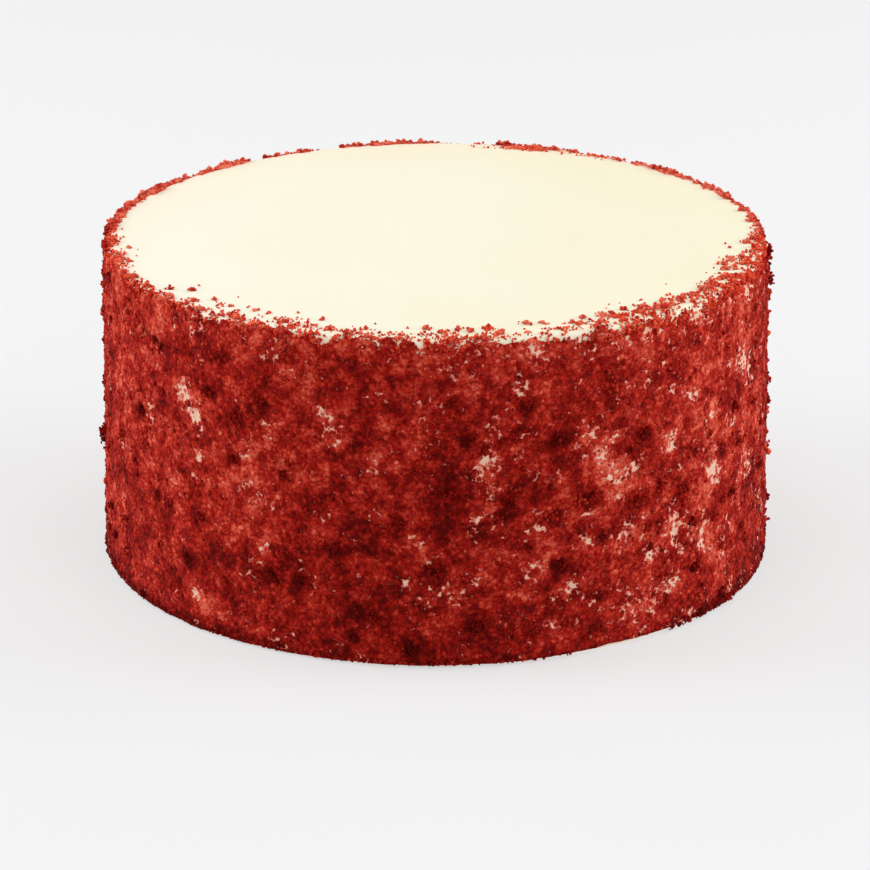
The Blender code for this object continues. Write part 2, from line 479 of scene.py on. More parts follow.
@dataclass(frozen=True)
class CoatSurface:
    """The outer face of the crumb coat, over the same skin as the solid coat."""

    form: CakeForm
    mottling: Mottling
    rim: tuple[RimPart, ...]
    speckled_rims: tuple[Spot, ...]
    gap: float = 0.0003
    thickness: float = 0.0009
    foot_thickness: float = 0.0010
    lap_thickness: float = 0.0004
    relief: float = 0.55
    relief_size: float = 0.0075
    relief_noise: float = 11.3
    grain: tuple[Layer, ...] = (Layer(0.00030, 0.0024, 3.0), Layer(0.00028, 0.0013, 9.0))
    raggedness: tuple[Layer, ...] = (Layer(0.0016, 0.0085, 23.0), Layer(0.0030, 0.0029, 29.0))
    bunching: tuple[Layer, ...] = (Layer(1.5, 0.0070, 61.0), Layer(1.3, 0.0027, 67.0))
    groups: Layer = Layer(1.0, 0.0042, 71.0)
    foot_share: float = 1 / 12
    worn: float = 0.0006
    sunk: float = 0.0006
    side_cover: float = 0.94
    ridge_width: float = 2.0
    stray_cover: float = 0.60
    stray_reach: float = 9.5
    stray_middle: float = 12
    stray_sides: Pair = (50, 76)
    speckle_draw: float = 0.0020
    speckle_gaps: float = 0.24
    edge_blur: float = 0.0009
    lip_width: float = 0.0025

    def even_thickness(self, angle: Array, along: Array) -> Array:
        """The coat's thickness before its lumps.

        Args:
            angle: radians about the cake's axis.
            along: how far up the skin from the rim's base, in metres.

        Returns:
            N thicknesses in metres.
        """
        from_foot = np.clip((1 + along / self.form.rim_base) / self.foot_share, 0, 1)
        side = self.foot_thickness + (self.thickness - self.foot_thickness) * from_foot
        inwards = np.sqrt(np.clip(along / (self.form.rim_arc + self.form.lap_width(angle)), 0, 1))
        over = self.thickness + (self.lap_thickness - self.thickness) * inwards
        return np.where(along < 0, side, over)

    def at_rim(self, angle: Array, name: str) -> Array:
        """One of the rim's values in these directions, between those of its parts."""
        degrees = [part.degrees for part in self.rim]
        return np.interp(azimuth(angle), degrees, [getattr(part, name) for part in self.rim], period=360)

    def cover(self, points: Array, angle: Array, along: Array) -> Array:
        """How whole the pressed layer is.

        Args:
            points: (N, 3) points on the icing's skin.
            angle: their angles about the axis.
            along: how far up the skin from the rim's base they lie, in metres.

        Returns:
            N numbers: 1 on the side, and 0 beyond a ragged line at the rim.
        """
        ragged = layered(points, self.raggedness) * (0.25 + 0.75 * self.form.front_share(angle))
        edge = self.at_rim(angle, "edge") * MM + ragged - self.speckle_draw * self.speckle(points)
        return 1 - smooth(along - edge, -self.edge_blur, self.edge_blur)

    def speckle(self, points: Array) -> Array:
        """1 where the rim's crumbs lie apart from each other, 0 elsewhere."""
        return self.mottling.near(points, self.speckled_rims, 1.5, 0.7)

    def density(self, points: Array, angle: Array, along: Array) -> Array:
        """The share of the icing that loose crumbs hide where the pressed layer is broken.

        Args:
            points, angle, along: as for cover.

        Returns:
            N shares from 0 to 1.
        """
        deep = np.maximum(along, 0) / MM
        even = self.at_rim(angle, "cover") * np.exp(-((deep / self.at_rim(angle, "reach")) ** 1.5))
        from_ridge = (deep - self.at_rim(angle, "ridge")) / self.ridge_width
        even = even + self.at_rim(angle, "ridge_cover") * np.exp(-(from_ridge**2))
        side_cover = self.side_cover - self.speckle_gaps * self.speckle(points)
        even = even + (side_cover - even) * smooth(-along, 0.0, 0.0030)
        bunches = layered(points, self.bunching) * (0.25 + 0.75 * smooth(along, -0.0015, 0.0030))
        groups = smooth(self.groups.at(points), 0.05, 0.45)
        strays = self.stray_cover * np.exp(-((deep / self.stray_reach) ** 2))
        strays = strays * (1 - smooth(np.abs(azimuth(angle) - self.stray_middle), *self.stray_sides))
        return np.clip(even * (1 + bunches) + strays * groups, 0.0, 0.97)

    def rise(self, points: Array, angle: Array, along: Array) -> tuple[Array, Array, Array]:
        """How far the coat's outer face is from the icing.

        Args:
            points, angle, along: as for cover.

        Returns:
            The rise, how thinly and how wholly each place is covered.
        """
        lumps = noise_at(points, self.relief_size, self.relief_noise)
        thin = self.mottling.thinness(points)
        grain = layered(points, self.grain) * smooth(-thin, -0.7, -0.2)
        thick = self.even_thickness(angle, along) * (0.95 + self.relief * lumps)
        thick = thick + grain - self.worn * smooth(thin, 0.3, 0.8)
        cover = self.cover(points, angle, along)
        lip = self.at_rim(angle, "lip") * MM * np.exp(-(((along - 0.0005) / self.lip_width) ** 2))
        return self.gap + (thick + lip) * cover - self.sunk * (1 - cover), thin, cover

    def outer(self, angle: Array, row: Array) -> tuple[Array, Array, Array, Array]:
        """The coat's outer face.

        Args:
            angle: radians about the cake's axis.
            row: the row up the skin, from 0 to 3.

        Returns:
            The points, the outward directions, how thinly and how wholly each place is covered.
        """
        along = self.form.along(angle, row)
        points, outward = self.form.skin(angle, along)
        rise, thin, cover = self.rise(points, angle, along)
        return points + outward * rise[:, None], outward, thin, cover


# Materials

# Pale specks on the crumbs: partly dust, partly painted sheen.
PALE_DUST_AND_SHEEN = (0.80, 0.46, 0.36)
# Reds from the darkest crumb to the brightest: the side's, and the rim's, a brighter and deeper red, partly
# the crumbs' own colour and partly painted light where they face up.
SIDE_REDS = (
    (0.085, 0.0012, 0.0007),
    (0.178, 0.0022, 0.0009),
    (0.303, 0.0054, 0.0022),
    (0.468, 0.0220, 0.0102),
    (0.655, 0.0840, 0.0450),
    (0.805, 0.1890, 0.1150),
)
RIM_REDS = (
    (0.092, 0.0010, 0.0005),
    (0.190, 0.0018, 0.0008),
    (0.333, 0.0046, 0.0018),
    (0.520, 0.0182, 0.0070),
    (0.730, 0.0650, 0.0260),
    (0.865, 0.1620, 0.0740),
)


class Number:
    """A number on a socket. Python's arithmetic on it adds Math nodes."""

    def __init__(self, shader: "Shader", socket: NodeSocket) -> None:
        """Wraps a socket of this shader's node tree."""
        self.shader = shader
        self.socket = socket

    def _with(self, operation: str, *others: "Number | float", turned: bool = False) -> "Number":
        """A Math node on this number and others, which come first if it is turned."""
        values = [*others, self] if turned else [self, *others]
        made = self.shader.node("ShaderNodeMath", {"operation": operation}, dict(enumerate(values)))
        return Number(self.shader, made.outputs[0])

    def __add__(self, other: "Number | float") -> "Number":
        """This plus other."""
        return self._with("ADD", other)

    def __mul__(self, other: "Number | float") -> "Number":
        """This times other."""
        return self._with("MULTIPLY", other)

    __radd__, __rmul__ = __add__, __mul__

    def __sub__(self, other: "Number | float") -> "Number":
        """This minus other."""
        return self._with("SUBTRACT", other)

    def __rsub__(self, other: "Number | float") -> "Number":
        """Other minus this."""
        return self._with("SUBTRACT", other, turned=True)

    def step(self, low: float, high: float) -> "Number":
        """A smooth step from 0 at low to 1 at high.

        Args:
            low: where the step starts.
            high: where it ends.

        Returns:
            The stepped number.
        """
        settings = {"interpolation_type": "SMOOTHSTEP"}
        made = self.shader.node(
            "ShaderNodeMapRange", settings, {"Value": self, "From Min": low, "From Max": high}
        )
        return Number(self.shader, made.outputs["Result"])


class Shader:
    """A material's node tree, built round its Principled shader."""

    def __init__(self, name: str) -> None:
        """Starts a new material of this name."""
        self.material = bpy.data.materials.new(name)
        self.material.use_nodes = True
        self.tree = self.material.node_tree
        self.principled = self.tree.nodes["Principled BSDF"]
        self.coordinate = self.node("ShaderNodeTexCoord", {}, {}).outputs["Object"]

    def node(self, kind: str, settings: dict, inputs: dict) -> bpy.types.Node:
        """Adds a node.

        Args:
            kind: the node's type.
            settings: its properties by name, and a ramp's evenly spaced colours under "stops".
            inputs: values, sockets or Numbers by the input's name or index.

        Returns:
            The node.
        """
        made = self.tree.nodes.new(kind)
        for name, value in settings.items():
            if name == "stops":
                self._set_stops(made.color_ramp.elements, value)
            else:
                setattr(made, name, value)
        for key, value in inputs.items():
            self.put(made.inputs[key], value)
        return made

    def _set_stops(self, stops: bpy.types.bpy_prop_collection, colours: tuple[Triple, ...]) -> None:
        """Gives a ramp these colours, evenly spaced.

        Args:
            stops: the ramp's stops, as a new ramp has them.
            colours: the colours, from 0 to 1.
        """
        stops.remove(stops[1])
        for number, colour in enumerate(colours):
            stop = stops.new(number / (len(colours) - 1)) if number else stops[0]
            stop.color = (*colour, 1.0)

    def put(self, target: NodeSocket, value: object) -> None:
        """Sets an input to a value, or links it.

        Args:
            target: the input.
            value: a number, a colour, a vector, or the socket or Number that feeds it.
        """
        if isinstance(value, Number):
            value = value.socket
        if isinstance(value, NodeSocket):
            self.tree.links.new(value, target)
        elif isinstance(value, tuple) and len(value) == 3 and target.type == "RGBA":
            target.default_value = (*value, 1.0)
        else:
            target.default_value = value

    def _noise(self, size: float, detail: float, roughness: float) -> bpy.types.Node:
        """A noise texture with lumps of this size in metres."""
        inputs = {"Vector": self.coordinate, "Scale": 1 / size, "Detail": detail, "Roughness": roughness}
        return self.node("ShaderNodeTexNoise", {}, inputs)

    def noise(self, size: float, detail: float = 2.0, roughness: float = 0.5) -> Number:
        """Noise in lumps of this size in metres, from 0 to 1."""
        return Number(self, self._noise(size, detail, roughness).outputs["Fac"])

    def bent(self, size: float, reach: float) -> NodeSocket:
        """The coordinate, pushed about by noise of this size, up to this far.

        Args:
            size: the noise's lumps, in metres.
            reach: how far it pushes, in metres.

        Returns:
            The pushed coordinate.
        """
        push = {0: self._noise(size, 1.0, 0.5).outputs["Color"], "Scale": reach}
        moved = self.node("ShaderNodeVectorMath", {"operation": "SCALE"}, push)
        both = {0: self.coordinate, 1: moved.outputs[0]}
        return self.node("ShaderNodeVectorMath", {"operation": "ADD"}, both).outputs[0]

    def cells(self, place: NodeSocket, size: float) -> tuple[Number, Number, Number]:
        """Space cut into cells.

        Args:
            place: the coordinate.
            size: how large a cell is, in metres.

        Returns:
            Two random numbers for each cell, and the distance to its centre, in cells.
        """
        cell = self.node("ShaderNodeTexVoronoi", {"feature": "F1"}, {"Vector": place, "Scale": 1 / size})
        random = self.node("ShaderNodeSeparateColor", {}, {"Color": cell.outputs["Color"]}).outputs
        found = random["Red"], random["Green"], cell.outputs["Distance"]
        return tuple(Number(self, output) for output in found)

    def attribute(self, name: str) -> Number:
        """A number stored on the mesh's points."""
        return Number(self, self.node("ShaderNodeAttribute", {"attribute_name": name}, {}).outputs["Fac"])

    def ramp(self, value: Number, colours: tuple[Triple, ...]) -> NodeSocket:
        """The colour at this value, from 0 to 1, of a ramp of evenly spaced colours."""
        return self.node("ShaderNodeValToRGB", {"stops": colours}, {"Fac": value}).outputs["Color"]

    def mix(self, share: Number, first: object, second: object) -> NodeSocket:
        """The first colour turning into the second as share goes from 0 to 1."""
        return self.node("ShaderNodeMix", {"data_type": "RGBA"}, {0: share, 6: first, 7: second}).outputs[2]

    def crumb_colour(self, tint: Number, reds: tuple[Triple, ...]) -> NodeSocket:
        """The red that crumb of this tint has, with pale specks in small patches, more on brighter crumbs:
        partly dust, partly painted sheen.
        """
        dust_and_sheen = self.noise(0.0011, 2.0, 0.6).step(0.42, 0.78) * tint.step(0.0, 0.8) * 0.065
        return self.mix(dust_and_sheen, self.ramp(tint, reds), PALE_DUST_AND_SHEEN)

    def bump(self, height: Number, distance: float, strength: float) -> NodeSocket:
        """A normal bent by a height of this many metres."""
        inputs = {"Height": height, "Distance": distance, "Strength": strength}
        return self.node("ShaderNodeBump", {}, inputs).outputs["Normal"]

    def surface(self, **inputs: object) -> Material:
        """Sets the Principled shader's inputs, with _ for a space, and returns the material."""
        for name, value in inputs.items():
            self.put(self.principled.inputs[name.replace("_", " ")], value)
        return self.material


@dataclass(frozen=True)
class IcingFinish:
    """Smooth cream cheese icing: pale, soft and faintly streaked by the spatula."""

    pale: Triple = (0.893, 0.869, 0.715)
    # A darker, yellower cream for broad patches of the top: partly uneven cream, partly painted shade
    # towards +X.
    warm_and_shaded: Triple = (0.872, 0.826, 0.610)
    # The icing on the side and round the rim is pinker: partly the cream's own pink from the crumbs, partly
    # painted red light thrown back by them.
    side: Triple = (0.930, 0.750, 0.560)
    side_from: Pair = (0.0967, 0.0950)
    roughness: float = 0.46
    streak: float = 0.0045
    swell: float = 0.018

    def make(self) -> Material:
        """Mixes the finish.

        Returns:
            The icing's material.
        """
        shader = Shader("icing")
        parts = shader.node("ShaderNodeSeparateXYZ", {}, {0: shader.coordinate}).outputs
        across, up = Number(shader, parts["X"]), Number(shader, parts["Z"])
        fine = shader.noise(self.streak, 3.0)
        # Darker and yellower in broad patches and towards +X: partly uneven cream, partly painted shade on
        # that side.
        warm_and_shaded_share = (across * 5.0 + shader.noise(0.06, 1.0)).step(0.0, 1.0)
        height = fine * 0.4 + shader.noise(self.swell, 2.0)
        top = shader.mix(warm_and_shaded_share, self.pale, self.warm_and_shaded)
        # Below the rim the icing turns pinker: partly its own pink, partly painted red light from the
        # crumbs.
        return shader.surface(
            Base_Color=shader.mix(up.step(*self.side_from), top, self.side),
            Roughness=self.roughness + 0.10 * fine,
            Normal=shader.bump(height, 0.00010, 0.6),
            Specular_IOR_Level=0.25,
        )


@dataclass(frozen=True)
class CoatFinish:
    """Pressed red crumb, with cream showing in the gaps between the crumbs where it is thin."""

    cream: Triple = (0.79, 0.500, 0.370)
    smear: Triple = (0.69, 0.155, 0.108)
    smeared_from: Pair = (0.45, 0.61)
    bare_from: Pair = (0.58, 0.72)
    crumb_size: float = 0.00135
    relief: float = 0.0006
    roughness: float = 0.82

    def make(self) -> Material:
        """Mixes the finish.

        Returns:
            The coat's material.
        """
        shader = Shader("pressed_crumb")
        tone, missing, far = shader.cells(shader.bent(0.0011, 0.0009), self.crumb_size)
        mixed, fine = shader.noise(0.0017, 2.0, 0.6), shader.noise(0.0007, 1.0, 0.5)
        blotch = shader.noise(0.0030, 2.0, 0.6)
        # Each crumb cell darkens towards its edge: painted shade in the gaps between crumbs.
        tint = shader.attribute(TINT) + (tone - 0.5) * 0.18 - (far - 0.5) * 0.38
        tint = tint + (mixed.step(0.32, 0.68) - 0.5) * 0.27 + (fine - 0.5) * 0.12
        bare = shader.attribute(THIN) + (far - 0.5) * 0.60 + (blotch - 0.5) * 0.90
        bare = bare + (missing - 0.5) * 0.15 + (fine - 0.5) * 0.15
        crumb = shader.crumb_colour(tint, SIDE_REDS)
        smeared = shader.mix(bare.step(*self.smeared_from), crumb, self.smear)
        height = (1.0 - far) * 1.2 + fine * 0.3 + tone * 0.4
        return shader.surface(
            Base_Color=shader.mix(bare.step(*self.bare_from), smeared, self.cream),
            Roughness=self.roughness,
            Normal=shader.bump(height, self.relief, 0.48),
            Specular_IOR_Level=0.06,
        )


@dataclass(frozen=True)
class CrumbFinish:
    """A loose crumb of red sponge, in the tint that its points carry."""

    name: str
    reds: tuple[Triple, ...]
    roughness: float = 0.80
    grain: float = 0.0006

    def make(self) -> Material:
        """Mixes the finish.

        Returns:
            The crumb's material.
        """
        shader = Shader(self.name)
        tint = shader.attribute(TINT) + (shader.noise(self.grain, 2.0, 0.6) - 0.5) * 0.20
        colour = shader.crumb_colour(tint, self.reds)
        return shader.surface(Base_Color=colour, Roughness=self.roughness, Specular_IOR_Level=0.06)


@dataclass(frozen=True)
class FloorFinish:
    """A plain pale light table."""

    colour: Triple = (0.320, 0.321, 0.322)
    glow: Triple = (0.540, 0.541, 0.543)

    def make(self) -> Material:
        """Mixes the finish.

        Returns:
            The floor's material.
        """
        shader = Shader("pale_floor")
        darker = tuple(0.98 * part for part in self.colour)
        return shader.surface(
            Base_Color=shader.mix(shader.noise(0.08, 2.0), self.colour, darker),
            Roughness=0.75,
            Specular_IOR_Level=0.2,
            Emission_Color=self.glow,
            Emission_Strength=1.0,
        )


# The icing and the coat's shell


@dataclass
class IcedTop:
    """The smooth icing over the whole cake: a cylinder with a rounded rim and a flat base."""

    form: CakeForm
    steps_round: int = 240
    rim_steps: int = 5
    rings: int = 26
    ripple: float = 0.00016
    ripple_size: float = 0.026

    def build(self) -> Piece:
        """Models the icing.

        Returns:
            The icing's object.
        """
        form = self.form
        icing = start_from(
            bpy.ops.mesh.primitive_cylinder_add,
            vertices=self.steps_round,
            radius=form.foot_radius,
            depth=form.height,
            location=(0, 0, form.height / 2),
        )
        self._shape(icing)
        self._make_uneven(icing)
        bpy.ops.object.shade_smooth_by_angle(angle=math.radians(40))
        return icing

    def _select(self, icing: Piece, kind: str, level: float) -> None:
        """Selects, in edit mode, the faces or edges that lie level at one height.

        Args:
            icing: the icing, in either mode.
            kind: "FACE" or "EDGE".
            level: the height.
        """
        bpy.ops.object.mode_set(mode="OBJECT")
        mesh = icing.data
        for items in (mesh.vertices, mesh.edges, mesh.polygons):
            items.foreach_set("select", np.zeros(len(items), bool))
        at_level = np.abs(coordinates(mesh)[:, 2] - level) < MM / 100
        for item in mesh.polygons if kind == "FACE" else mesh.edges:
            item.select = bool(at_level[list(item.vertices)].all())
        bpy.ops.object.mode_set(mode="EDIT")
        bpy.ops.mesh.select_mode(type=kind)

    def _shape(self, icing: Piece) -> None:
        """Draws the top in, rounds the rim and the foot, and insets the top into rings that meet.

        Args:
            icing: the cylinder.
        """
        form = self.form
        factor = form.shoulder_radius / form.foot_radius
        self._select(icing, "FACE", form.height)
        bpy.ops.transform.resize(value=(factor, factor, 1))
        self._select(icing, "EDGE", form.height)
        bpy.ops.mesh.bevel(offset=form.rim_round, segments=self.rim_steps)
        self._select(icing, "EDGE", 0.0)
        bpy.ops.mesh.bevel(offset=form.foot_round, segments=2)
        self._select(icing, "FACE", form.height)
        for _ in range(self.rings):
            bpy.ops.mesh.inset(thickness=form.rim_centre / (self.rings + 0.5), use_even_offset=True)
        bpy.ops.mesh.poke()
        bpy.ops.object.mode_set(mode="OBJECT")

    def _make_uneven(self, icing: Piece) -> None:
        """Moves the points to the uneven cake's skin, with soft ripples on the top.

        Args:
            icing: the shaped cylinder.
        """
        points = coordinates(icing.data)
        angle = np.arctan2(points[:, 1], points[:, 0])
        radius = np.hypot(points[:, 0], points[:, 1])
        placed = self.form.place(angle, radius, points[:, 2])
        inside = smooth(-radius, -self.form.rim_centre, -self.form.rim_centre * 0.93)
        on_top = points[:, 2] > self.form.height - MM / 10
        placed[:, 2] += self.ripple * noise_at(placed, self.ripple_size, 2.0) * inside * on_top
        move_points(icing.data, placed)


@dataclass
class CoatShell:
    """The pressed layer of crumb: a closed ring with a lumpy outer face.

    A zone is how many rows its section has there, and the skin's row that the zone ends at.
    """

    surface: CoatSurface
    steps_round: int = 690
    zones: tuple[Pair, ...] = ((74, 0.90), (16, 1.0), (5, 2.0), (3, 3.0))
    inner_rows: tuple[float, ...] = (3.0, 2.0, 1.5, 1.0, 0.5, 0.0)
    inner_depth: float = 0.0002
    bands: int = 3
    band_pitch: float = 1.02

    def build(self) -> Piece:
        """Wraps a grid round the cake, up the outer face and back down the inner one.

        Returns:
            The shell's object.
        """
        counts, ends = zip(*self.zones)
        last = np.cumsum((0, *counts))
        outer_rows = np.interp(np.arange(last[-1] + 1), last, (0.0, *ends))
        rows = np.concatenate([outer_rows, self.inner_rows, outer_rows[:1]])
        gaps = len(rows) - 1
        grid = bpy.ops.mesh.primitive_grid_add
        shell = start_from(grid, x_subdivisions=self.steps_round, y_subdivisions=gaps, size=1)
        flat = coordinates(shell.data)
        step = np.rint((flat[:, 0] + 0.5) * self.steps_round).astype(int)
        index = np.rint((flat[:, 1] + 0.5) * gaps).astype(int)
        angle = (step % self.steps_round) * 2 * math.pi / self.steps_round
        row = rows[index]
        points, outward, thin, _ = self.surface.outer(angle, row)
        skin, _ = self.surface.form.skin(angle, self.surface.form.along(angle, row))
        is_outer = (index < len(outer_rows)) | (index == gaps)
        map_faces(shell.data, self._banded(corners(shell.data, 4), step, index / gaps))
        move_points(shell.data, np.where(is_outer[:, None], points, skin - outward * self.inner_depth))
        add_attribute(shell.data, TINT, self.surface.mottling.tint(points))
        add_attribute(shell.data, THIN, thin)
        self._close(shell)
        return shell

    def _banded(self, faces: Array, step: Array, up: Array) -> Array:
        """Places for the shell's map: the ring cut into bands, laid one above the other.

        Args:
            faces: the points of each face.
            step: each point's step round the cake.
            up: how far up its band each point is, from 0 to 1.

        Returns:
            The place of each face's corners.
        """
        band_steps = self.steps_round // self.bands
        band = (step[faces].min(axis=1) // band_steps)[:, None]
        across = (step[faces] - band * band_steps) / band_steps
        raised = (up[faces] + band * self.band_pitch) / (self.bands * self.band_pitch)
        return np.stack([across, raised], axis=-1)

    def _close(self, shell: Piece) -> None:
        """Joins the grid's meeting edges and turns its faces outwards.

        Args:
            shell: the wrapped grid. Not used.
        """
        bpy.ops.object.mode_set(mode="EDIT")
        bpy.ops.mesh.select_all(action="SELECT")
        bpy.ops.mesh.remove_doubles(threshold=MM / 1000)
        bpy.ops.mesh.normals_make_consistent(inside=False)
        bpy.ops.object.mode_set(mode="OBJECT")
        bpy.ops.object.shade_smooth()


# Loose crumbs


class Grain(Enum):
    """How a crumb's rough shape starts."""

    CHIP = "chip"
    NUGGET = "nugget"


@dataclass(frozen=True)
class CrumbShape:
    """Rough crumbs of one grain, each about one unit in radius."""

    grain: Grain
    roughness: float
    seed: int
    variants: int = 6
    stretch: Pair = (0.78, 1.15)

    def _draw_out_base(self, cone: Piece) -> None:
        """Draws the middle of a cone's base down to a second point.

        Args:
            cone: the cone, as it was added.
        """
        mesh = cone.data
        for item in (*mesh.polygons, *mesh.edges):
            item.select = False
        for vertex in mesh.vertices:
            vertex.select = vertex.co.xy.length < 0.1 and vertex.co.z < 0
        bpy.ops.object.mode_set(mode="EDIT")
        bpy.ops.mesh.select_mode(type="VERT")
        bpy.ops.transform.translate(value=(0, 0, -1))
        bpy.ops.mesh.select_all(action="SELECT")
        bpy.ops.transform.translate(value=(0, 0, 0.5))
        bpy.ops.object.mode_set(mode="OBJECT")

    def model(self) -> tuple[Array, Array]:
        """Models the variants.

        Returns:
            Their points, (variants, V, 3), and their triangles, (variants, T, 3).
        """
        outlines, triangles = [], []
        rng = np.random.default_rng(self.seed)
        for number in range(self.variants):
            if self.grain is Grain.CHIP:
                cone = bpy.ops.mesh.primitive_cone_add
                crumb = start_from(cone, vertices=4, radius1=1, depth=1, end_fill_type="TRIFAN")
                self._draw_out_base(crumb)
            else:
                crumb = start_from(bpy.ops.mesh.primitive_ico_sphere_add, subdivisions=1, radius=1)
            mesh = crumb.data
            bpy.ops.object.mode_set(mode="EDIT")
            bpy.ops.mesh.select_all(action="SELECT")
            bpy.ops.transform.resize(value=tuple(rng.uniform(*self.stretch, 3)))
            bpy.ops.transform.vertex_random(offset=self.roughness, seed=self.seed * 10 + number)
            bpy.ops.object.mode_set(mode="OBJECT")
            outlines.append(coordinates(mesh))
            triangles.append(corners(mesh, 3))
            bpy.data.objects.remove(crumb)
            bpy.data.meshes.remove(mesh)
        return np.array(outlines), np.array(triangles)


def random_turns(rng: np.random.Generator, count: int) -> Array:
    """Turns of any kind.

    Args:
        rng: what draws them.
        count: how many.

    Returns:
        Rotation matrices, (count, 3, 3).
    """
    four = rng.normal(size=(count, 4))
    w, x, y, z = (four / np.linalg.norm(four, axis=1, keepdims=True)).T
    rows = [
        [1 - 2 * (y * y + z * z), 2 * (x * y - z * w), 2 * (x * z + y * w)],
        [2 * (x * y + z * w), 1 - 2 * (x * x + z * z), 2 * (y * z - x * w)],
        [2 * (x * z - y * w), 2 * (y * z + x * w), 1 - 2 * (x * x + y * y)],
    ]
    return np.array(rows).transpose(2, 0, 1)


@dataclass
class Scatter:
    """Places and tints of many crumbs, which are joined into one piece."""

    centres: Array
    outward: Array
    radii: Array
    tints: Array

    def join(self, shape: CrumbShape, flatness: float, rng: np.random.Generator) -> Piece:
        """Joins the crumbs into one mesh, with a map in which each crumb has a square by its tint.

        Args:
            shape: the crumbs' shapes.
            flatness: a crumb's thickness along its outward direction, as a share of its width.
            rng: what turns the crumbs.

        Returns:
            The joined object.
        """
        outlines, triangles = shape.model()
        count = len(self.centres)
        kinds = rng.integers(0, shape.variants, count)
        turned = np.einsum("nij,nvj->nvi", random_turns(rng, count), outlines[kinds])
        along = np.einsum("nvi,ni->nv", turned, self.outward)
        turned -= (1 - flatness) * along[:, :, None] * self.outward[:, None, :]
        points = self.centres[:, None, :] + turned * self.radii[:, None, None]
        each = outlines.shape[1]
        faces = triangles[kinds] + (np.arange(count) * each)[:, None, None]
        mesh = bpy.data.meshes.new("crumbs")
        mesh.from_pydata(points.reshape(-1, 3).tolist(), [], faces.reshape(-1, 3).tolist())
        add_attribute(mesh, TINT, np.repeat(self.tints, each))
        map_faces(mesh, self._squares(triangles.shape[1]))
        obj = bpy.data.objects.new("crumbs", mesh)
        bpy.context.scene.collection.objects.link(obj)
        mesh.shade_smooth()
        return obj

    def _squares(self, triangles: int) -> Array:
        """The map's places of the crumbs' triangles, each inside the square of its crumb's rank by tint.

        Args:
            triangles: how many triangles a crumb has.

        Returns:
            The place of each triangle's corners.
        """
        count = len(self.tints)
        rank = np.empty(count, int)
        rank[np.argsort(self.tints, kind="stable")] = np.arange(count)
        cells = math.ceil(math.sqrt(count))
        side = math.ceil(math.sqrt(triangles))
        number = np.arange(triangles)
        small = np.stack([number % side, number // side], axis=-1)[:, None, :] / side
        local = small + np.array([[0.08, 0.08], [0.92, 0.08], [0.08, 0.92]]) / side
        square = np.stack([rank % cells, rank // cells], axis=-1)[:, None, None, :]
        return ((square + local[None]) / cells).reshape(-1, 2)


@dataclass(frozen=True)
class Spread:
    """How one kind of crumb lies over the side: how many, how large, how dark and where."""

    count: int
    radii: Pair
    lean: float
    tint_shift: float
    unevenness: float
    stand_out: float = -0.30


